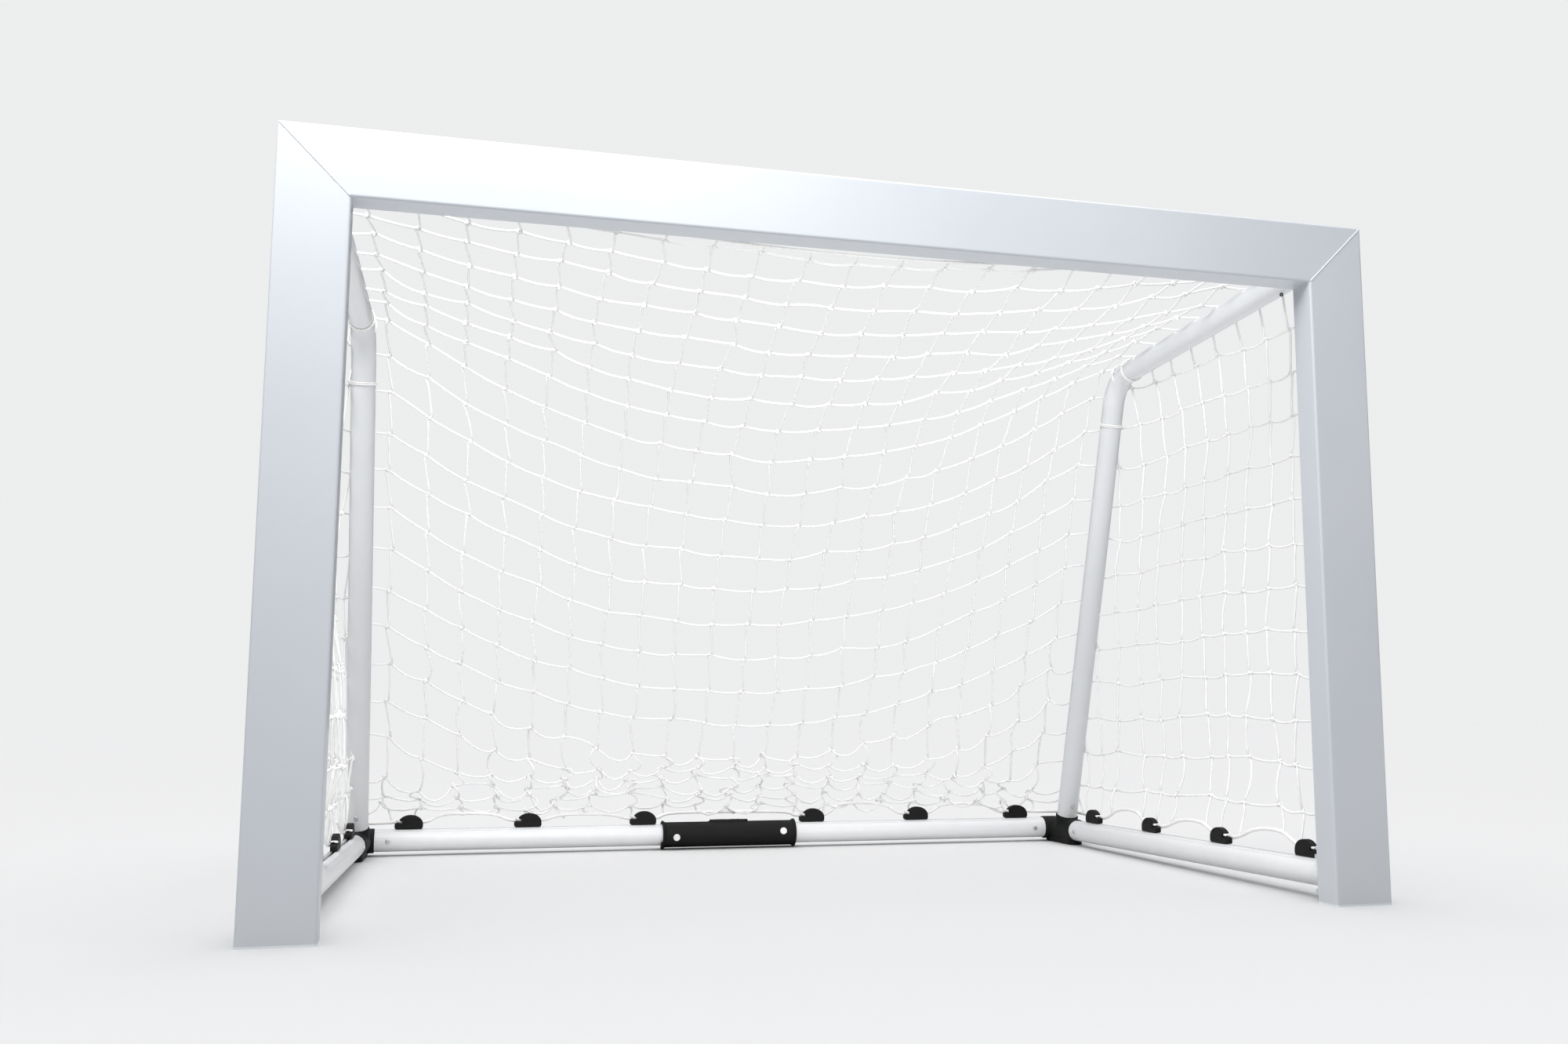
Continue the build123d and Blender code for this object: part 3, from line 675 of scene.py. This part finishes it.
def rope_behind(x):
    """The ground rope's place at the rear bar for a distance x from the middle."""
    reach = np.clip(x, -0.70, 0.70)
    y, z = (np.interp(reach, rear_run[:, 0], rear_run[:, k]) for k in (1, 2))
    return np.array([reach, y, z])


def rope_beside(side, y):
    """The ground rope's place at a side rail for a depth y."""
    run = ground_line[ground_line[:, 0] * side > 0.70]
    run = run[np.argsort(run[:, 1])]
    return np.array([np.interp(y, run[:, 1], run[:, 0]), y, np.interp(y, run[:, 1], run[:, 2])])


def edge_ropes():
    """Thin ropes over each stanchion and up each post's back."""
    for side in (-1, 1):
        over = even(held_line, 70)
        line = np.array([(side * (side_x(y) + side_gap), y, z) for y, z in over])
        line[-3:, 0] -= side * np.array([0.001, 0.002, 0.004])
        lay(rope_points, rope_faces, line, edge_rope_radius, 8)
        out = side_x(net_front_y) + side_gap
        steps = np.linspace(0.10, over_start[1] - 0.004, 40)
        post = [(side * (out + 0.0025 * math.sin(z * 21)), net_front_y, z) for z in steps]
        lay(rope_points, rope_faces, np.array(post), edge_rope_radius, 8)


edge_ropes()


def ring_round_tube(side, y, z, along):
    """A tie's closed line round a stanchion and the edge rope beside it."""
    along = np.asarray(along, float) / np.linalg.norm(along)
    outward = np.array([0, -along[1], along[0]])
    outward *= math.copysign(1, outward[2] + outward[1])
    rope_place = np.array([side_gap, side_gap])
    line = []
    for angle in np.linspace(0, 2 * math.pi, 40, endpoint=False):
        way = np.array([math.cos(angle), math.sin(angle)])
        far = rope_place + 0.0045 * way
        near = (tube_radius + 0.0018) * way
        a, b = far if far @ way > near @ way else near
        line.append(np.array([side * (side_x(y) + a), y, z]) + outward * b)
    return np.array(line)


def stanchion_ties():
    """Two turns of cord at each tie, along the roof run and down the rear leg."""
    roof_run = bend - stanchion_top
    leg = np.array([bar_y - 0.058 - bend[0], bar_z - bend[1]])
    for side in (-1, 1):
        for share in (0.90, 0.96):
            y, z = stanchion_top + roof_run * share
            for step in (0, tie_pitch):
                ring = ring_round_tube(side, y + step, z, roof_run)
                lay(rope_points, rope_faces, ring, tie_radius, 6, closed=True)
        y, z = bend + leg * 0.10
        for step in (0, tie_pitch):
            ring = ring_round_tube(side, y, z + step, leg)
            lay(rope_points, rope_faces, ring, tie_radius, 6, closed=True)


stanchion_ties()


# ---- Net ------------------------------------------------------------------------------------
# Knotted square mesh of white braided polypropylene cord. One sheet hangs from the back of the
# crossbar over the stanchions to the rear rope, and a side sheet closes each side. The middle
# sags between the stanchions, and the rows that are left over gather above the rear bar.

net_cord = cord_material("net_cord", (0.96, 0.96, 0.95), (0.93, 0.93, 0.92), 1100.0)
mesh_size = 0.077
cord_radius = 0.0021
net_points, net_faces = [], []
knot_places = []
rng = np.random.default_rng(11)

knot_size, knot_cord_radius = 0.0042, 0.0018
turns = np.linspace(0, 2 * np.pi, 20, endpoint=False)
knot_shape = np.stack(
    [
        np.sin(turns) + 2 * np.sin(2 * turns),
        np.cos(turns) - 2 * np.cos(2 * turns),
        -1.3 * np.sin(3 * turns),
    ],
    1,
) / 3


def finish_sheet(name, *sheets):
    """Pulls a small trefoil knot tight at each crossing and makes the sheet one piece."""
    for centre in knot_places:
        turn = rng.uniform(0, 6.28, 2)
        spin = np.array(Matrix.Rotation(turn[0], 3, "X") @ Matrix.Rotation(turn[1], 3, "Z"))
        knot = centre + (knot_shape @ spin.T) * knot_size
        lay(net_points, net_faces, knot, knot_cord_radius, 5, closed=True)
    net = mesh_object(name, net_points, net_faces, net_cord)
    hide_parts(*sheets)
    for used in (net_points, net_faces, knot_places):
        used.clear()


def slack_line():
    """The sag down the middle of the back net, even by length."""
    start = np.array([roof_low.y, crossbar_low.z])
    first = start + (0.747, -0.120)
    last = net_foot + (-0.297, 0.548)
    t = np.linspace(0, 1, line_points)[:, None]
    curve = (1 - t) ** 3 * start + 3 * t * (1 - t) ** 2 * first
    curve = curve + 3 * t * t * (1 - t) * last + t ** 3 * net_foot
    return even(curve, line_points)


middle_line = slack_line()
slack_share = (rail_end.x - side_gap) / (rail_end.x + side_gap)
held_length = np.linalg.norm(np.diff(held_line, axis=0), axis=1).sum()
slack_length = np.linalg.norm(np.diff(middle_line, axis=0), axis=1).sum()


def sag_at(share):
    """How much of the middle's slack a column has: 1 at the middle, 0 over the stanchions."""
    return max(0.0, 1 - (share / slack_share) ** 2)


def back_point(share, t):
    """A point of the back net: share of the half width, and t from the crossbar to the bar."""
    step = np.clip(t, 0, 1) * (line_points - 1)
    count = np.arange(line_points)
    held = np.array([np.interp(step, count, held_line[:, k]) for k in (0, 1)])
    slack = np.array([np.interp(step, count, middle_line[:, k]) for k in (0, 1)])
    y, z = held + (slack - held) * sag_at(share)
    return np.array([share * (side_x(y) + side_gap), y, z])


def strand(start, end, bow, steps=4):
    """A cord between two knots, bowed to one side by the given vector."""
    t = np.linspace(0, 1, steps + 1)[:, None]
    return start + (end - start) * t + 4 * t * (1 - t) * bow


def lay_strand(start, end, bow, steps=4):
    lay(net_points, net_faces, strand(start, end, bow, steps), cord_radius, 6)


def make_back_net():
    """Knots on the sagging sheet, then a cord down each column and along each row."""
    columns, rows, gather = 23, 24, 0.023
    folded = rows - 7
    knots = np.zeros((rows, columns, 3))
    for c, share in enumerate(np.linspace(-1, 1, columns)):
        length = held_length + (slack_length - held_length) * sag_at(share)
        for r in range(rows):
            hung = (0.026 + r * mesh_size) / length
            gathered = 1 - (rows - 1 - r) * gather / length
            knots[r, c] = back_point(share, min(hung, gathered))
    wave = rng.normal(0, 1, knots.shape)
    calm = wave.copy()
    for _ in range(2):
        along_rows = np.roll(calm, 1, 0) + np.roll(calm, -1, 0)
        calm = (calm + along_rows + np.roll(calm, 1, 1) + np.roll(calm, -1, 1)) / 5
    knots[:, 1:-1] += calm[:, 1:-1] * np.array([0.006, 0.008, 0.006])
    knots[1:-1, 1:-1] += wave[1:-1, 1:-1] * 0.0022
    for c in range(1, columns - 1):
        knots[-1, c] = rope_behind(knots[-1, c, 0])
        for r in range(folded, rows - 1):
            depth = (r - folded + 1) / 7
            fold = math.sin(c * 2.1 + r * 2.6) + 0.5 * math.sin(c * 0.9 - r * 1.7)
            forward = -0.012 if r < rows - 3 else 0.007
            aside = 0.008 * math.sin(c * 1.3 + r)
            knots[r, c] += depth * np.array([aside, forward + 0.010 * fold, 0.004 * fold])
    jog = np.array([0.0034, 0, 0])
    for r in range(rows):
        for c in range(columns):
            here = knots[r, c]
            inside = 0 < c < columns - 1
            if inside and r < rows - 1:
                knot_places.append(here)
            if c < columns - 1 and r < rows - 1:
                loose = 0.0010 if r < folded else 0.006
                bow = rng.normal(0, loose, 3)
                bow = bow - (0, 0, abs(rng.normal(0.002, 0.0012)) + 2 * (loose - 0.001))
                lay_strand(here, knots[r, c + 1], bow)
            if inside and r < rows - 1:
                below = knots[r + 1, c]
                spare = math.sqrt(max(0.0, mesh_size ** 2 - float(np.sum((below - here) ** 2))))
                way = rng.normal(0, 1, 3) * (0.7, 1.0, 0.3)
                way[1] = abs(way[1]) if r > rows - 4 else way[1]
                bow = way / np.linalg.norm(way) * min(0.30 * spare, 0.020) * (r > rows - 10)
                lay_strand(here - jog, below + jog, bow + rng.normal(0, 0.0012, 3), 6)
    for c in range(1, columns - 1):
        start = back_point(-1 + 2 * c / (columns - 1), 0.0)
        lay_strand(start, knots[0, c], np.zeros(3), 2)
    top_edge = np.array([back_point(share, 0.0) for share in np.linspace(-1, 1, 61)])
    lay(rope_points, rope_faces, top_edge, edge_rope_radius, 8)


make_back_net()
finish_sheet("back_netting", "roof_net", "back_net")


def make_side_net(side, pull, spacing, swing):
    """A side sheet, gathered to a spacing, its foot pulled to the hooks and its middle swung in."""
    local = np.random.default_rng(21 + side)
    phase = local.uniform(0, 6, 5)
    order = np.argsort(held_line[:, 0])
    columns = np.arange(net_front_y + 0.045, held_line[:, 0].max() - 0.01, spacing)
    levels = 0.055 + np.arange(13) * mesh_size * 0.99

    def roof(y):
        return float(np.interp(y, held_line[order, 0], held_line[order, 1]))

    def place(y, z):
        foot = rail_z(y) + tube_radius
        low = np.clip((0.42 - z) / 0.34, 0, 1) ** 1.5
        hook_y = min(rail_hook_ys, key=lambda h: abs(h - y))
        drawn = y + (hook_y - y) * pull * low
        from_edges = ((y - net_front_y) / 0.2, (roof(y) - z) / 0.2, (z - foot) / 0.15)
        free = min(1.0, *(max(0.0, share) for share in from_edges))
        inward = swing * math.exp(-(((y + 0.17) / 0.22) ** 2)) * np.clip((0.85 - z) / 0.5, 0, 1)
        belly = 0.012 * math.sin(5.1 * y + phase[0]) + 0.009 * math.sin(7.3 * z + phase[1]) + 0.010 - inward
        drift = 0.012 * math.sin(4.3 * z + phase[2]) + 0.007 * math.sin(9.1 * y + phase[3])
        out = side_gap - 0.014 * np.clip((0.35 - z) / 0.25, 0, 1)
        lift = 0.010 * math.sin(6.1 * y + phase[4]) - 0.006
        return np.array([side * (side_x(drawn) + out + free * belly), drawn + free * drift, z + free * lift])

    grid = {}
    jog = np.array([0, 0.003, 0])
    for i, y in enumerate(columns):
        line = []
        for j, level in enumerate(levels + 0.012 * (y - net_front_y)):
            if rail_z(y) + tube_radius + 0.045 < level < roof(y) - 0.025:
                grid[i, j] = place(y, level) + local.normal(0, 0.0028, 3)
                line.append(grid[i, j])
        foot_y = place(y, rail_z(y) + tube_radius)[1]
        foot = rope_beside(side, min(foot_y, bar_y - 0.05))
        top = np.array([side * (side_x(y) + side_gap), y, roof(y)])
        line = [foot] + line + [top]
        for k, (a, b) in enumerate(zip(line, line[1:])):
            loose = 0.004 if k < 2 else 0.0014
            lay_strand(a + jog * (k > 0), b - jog * (k < len(line) - 2), local.normal(0, loose, 3), 5)
    for (i, j), point in grid.items():
        knot_places.append(point)
        droop = np.array([0, 0, -abs(local.normal(0.003, 0.0015))]) + local.normal(0, 0.0009, 3)
        if (i + 1, j) in grid:
            lay_strand(point, grid[i + 1, j], droop)
        else:
            rear_y = held_line[held_line[:, 1] > point[2]][-1, 0]
            rear = np.array([side * (side_x(rear_y) + side_gap), rear_y, point[2] + 0.004])
            lay_strand(point, rear, droop / 2)
        if i == 0:
            out = side_x(net_front_y) + side_gap
            lay_strand(np.array([side * out, net_front_y, point[2] + 0.003]), point, droop / 2)


make_side_net(-1, 0.85, 0.052, 0.060)
finish_sheet("left_netting", "left_side_net")
make_side_net(1, 0.30, 0.0755, 0.0)
finish_sheet("right_netting", "right_side_net")


ropes = mesh_object("border_ropes", rope_points, rope_faces, rope_cord)
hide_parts("border_rope")


def make_hook_cord(name):
    """The knotted end of a net cord, caught in a hook's mouth."""
    low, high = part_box(name)
    foot_below_top = 0.0283
    base = np.array([(low.x + high.x) / 2, (low.y + high.y) / 2, high.z - foot_below_top])
    if name.startswith("rear"):
        along, out = np.array([-1.0, 0, 0]), np.array([0, 1.0, 0])
    else:
        side = -1 if name.startswith("left") else 1
        along = np.array([side * (rail_start.x - rail_end.x), rail_start.y - rail_end.y, 0])
        along /= np.linalg.norm(along)
        out = np.array([abs(along[1]) * side, abs(along[0]), 0])
    shape = [
        (0.0245, 0.0050, 0.0166), (0.0238, 0.0030, 0.0174), (0.0215, 0.0, 0.0172), (0.0192, -0.0030, 0.0163),
    ]
    line = smooth_line([base + along * u + out * v + (0, 0, w) for u, v, w in shape], 5)
    points, faces = [], []
    lay(points, faces, line, 0.0014, 7)
    lay(points, faces, line[-1] + knot_shape * 0.0026, 0.0012, 6, closed=True)
    cord = mesh_object(f"{name}_cord", points, faces, rope_cord, body=name)


for name in hook_names:
    make_hook_cord(name)


def net_clips_at_the_top():
    """Small black clips on the edge rope under the right stanchion's top end."""
    points, faces = [], []
    roof_run = np.array([stanchion_top, bend])
    for y in (-0.478, -0.446, -0.405):
        z = float(np.interp(y, roof_run[:, 0], roof_run[:, 1])) - tube_radius - 0.0028
        angles = np.linspace(0, 2 * math.pi, 16, endpoint=False)
        ring = [(side_x(y) - 0.004 + 0.0024 * math.cos(a), y, z + 0.0020 * math.sin(a)) for a in angles]
        lay(points, faces, np.array(ring), 0.0012, 6, closed=True)
    clips = mesh_object("black_net_clips", points, faces, hook_nylon)


net_clips_at_the_top()


# ---- Clips on the frame ---------------------------------------------------------------------
# Small moulded white clips on the backs of the crossbar and posts, which carry the net's edge.

clip_plastic = moulding("clip_plastic", (0.80, 0.81, 0.82), (0.76, 0.77, 0.78), 0.45, 1200.0, 0.00008)
paint(clip_plastic, "crossbar_net_clips", "post_net_clips")
